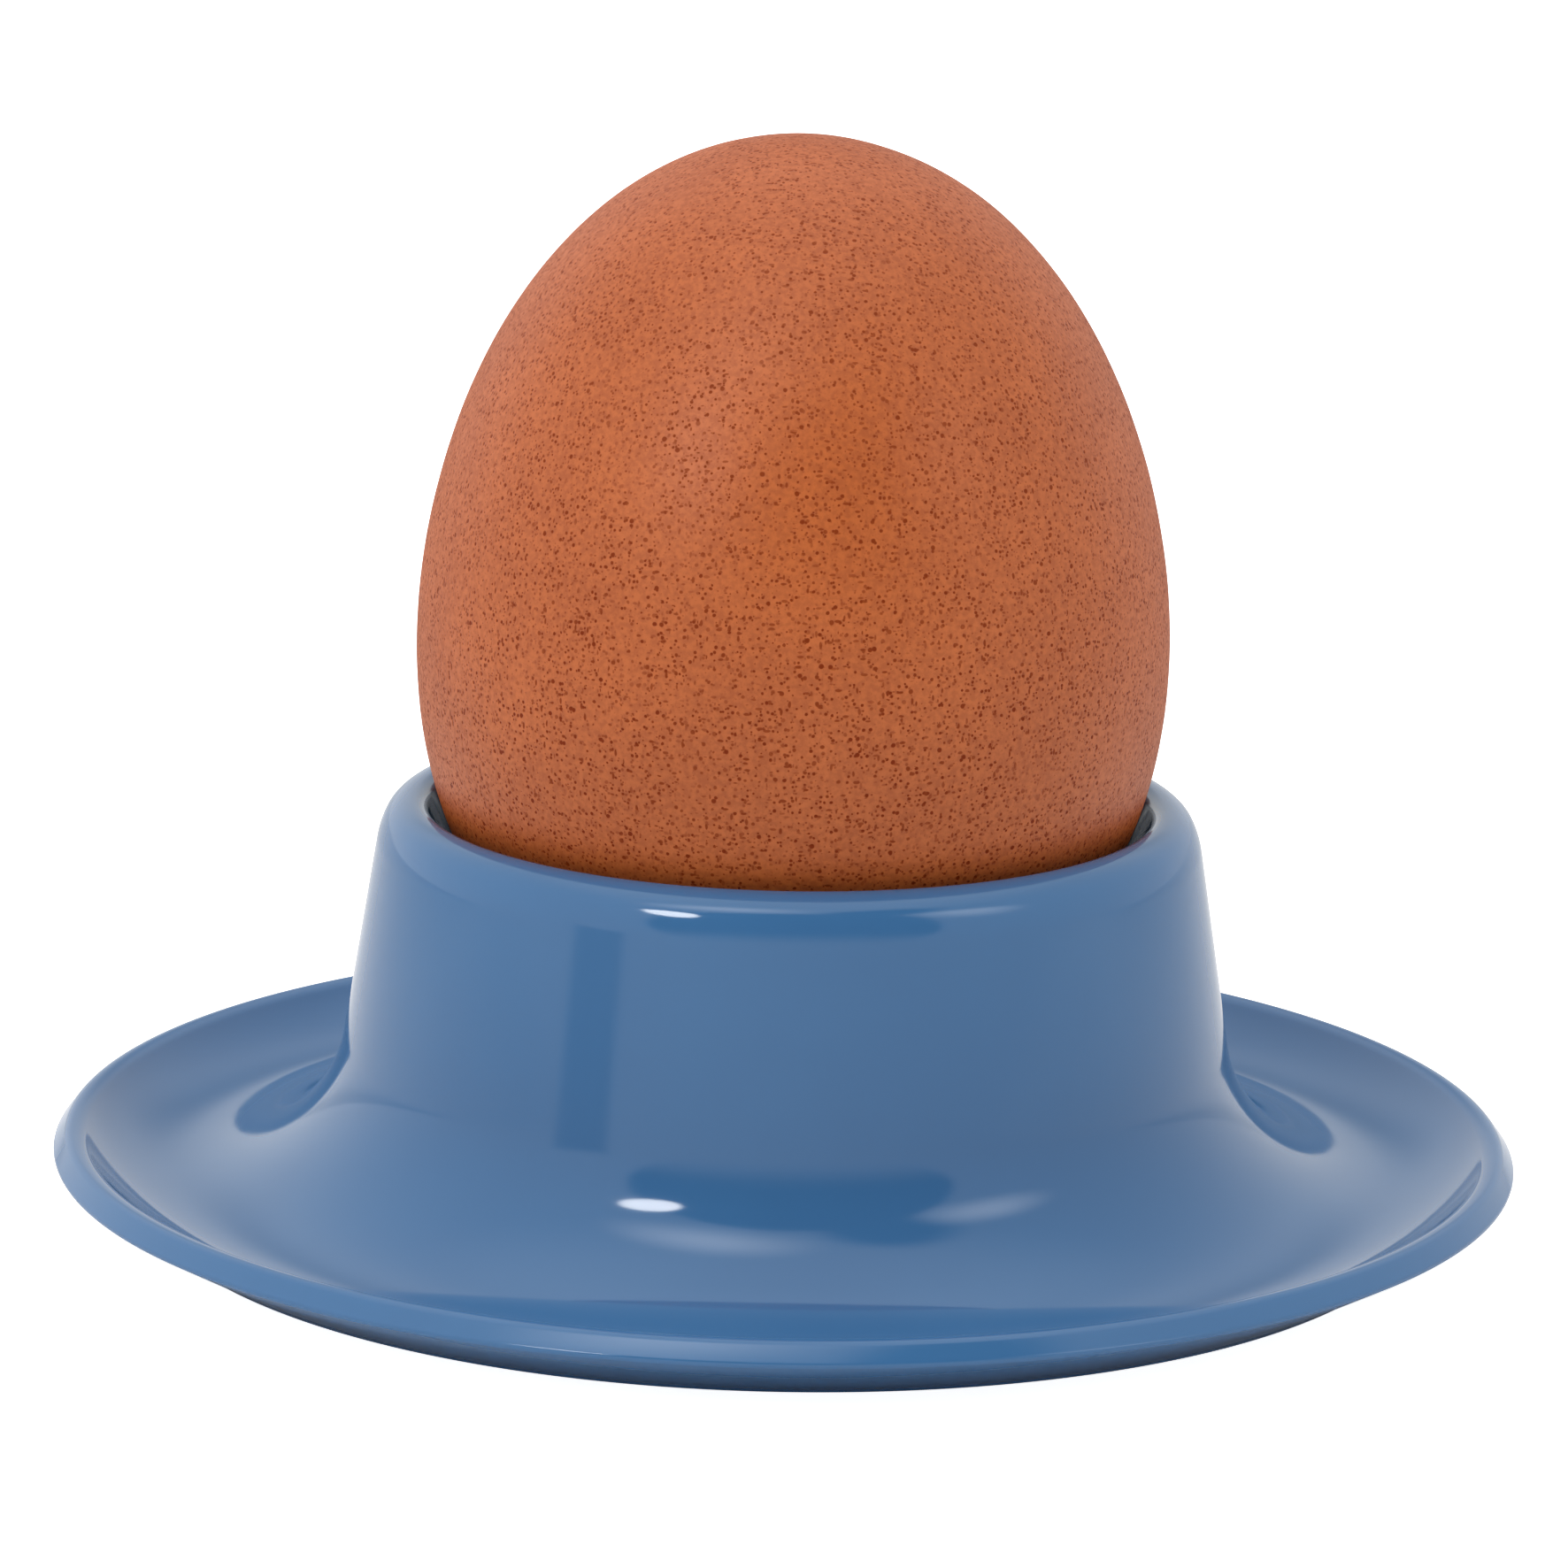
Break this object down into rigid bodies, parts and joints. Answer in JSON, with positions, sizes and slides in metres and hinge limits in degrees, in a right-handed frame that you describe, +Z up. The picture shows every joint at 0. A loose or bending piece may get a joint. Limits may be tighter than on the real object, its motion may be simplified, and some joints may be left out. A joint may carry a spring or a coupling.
{
  "type": "boiled egg in egg cup",
  "caption": "Brown boiled egg standing pointed end up in a glossy blue egg cup with a flared wall and a built-in round saucer.",
  "frame": {"origin": "centre of the foot ring, on the plane it stands on", "axes": "+Z up along the axis of the cup and the egg; X and Y are alike because every piece is turned about Z"},
  "size_m": [0.0878, 0.0878, 0.0644],
  "materials": {
    "cup_glaze": "smooth high-gloss denim blue moulding",
    "eggshell": "satin brown eggshell with fine darker speckles"
  },
  "bodies": {
    "root": {"egg_cup": "cup_glaze", "egg": "eggshell"}
  },
  "joints": []
}
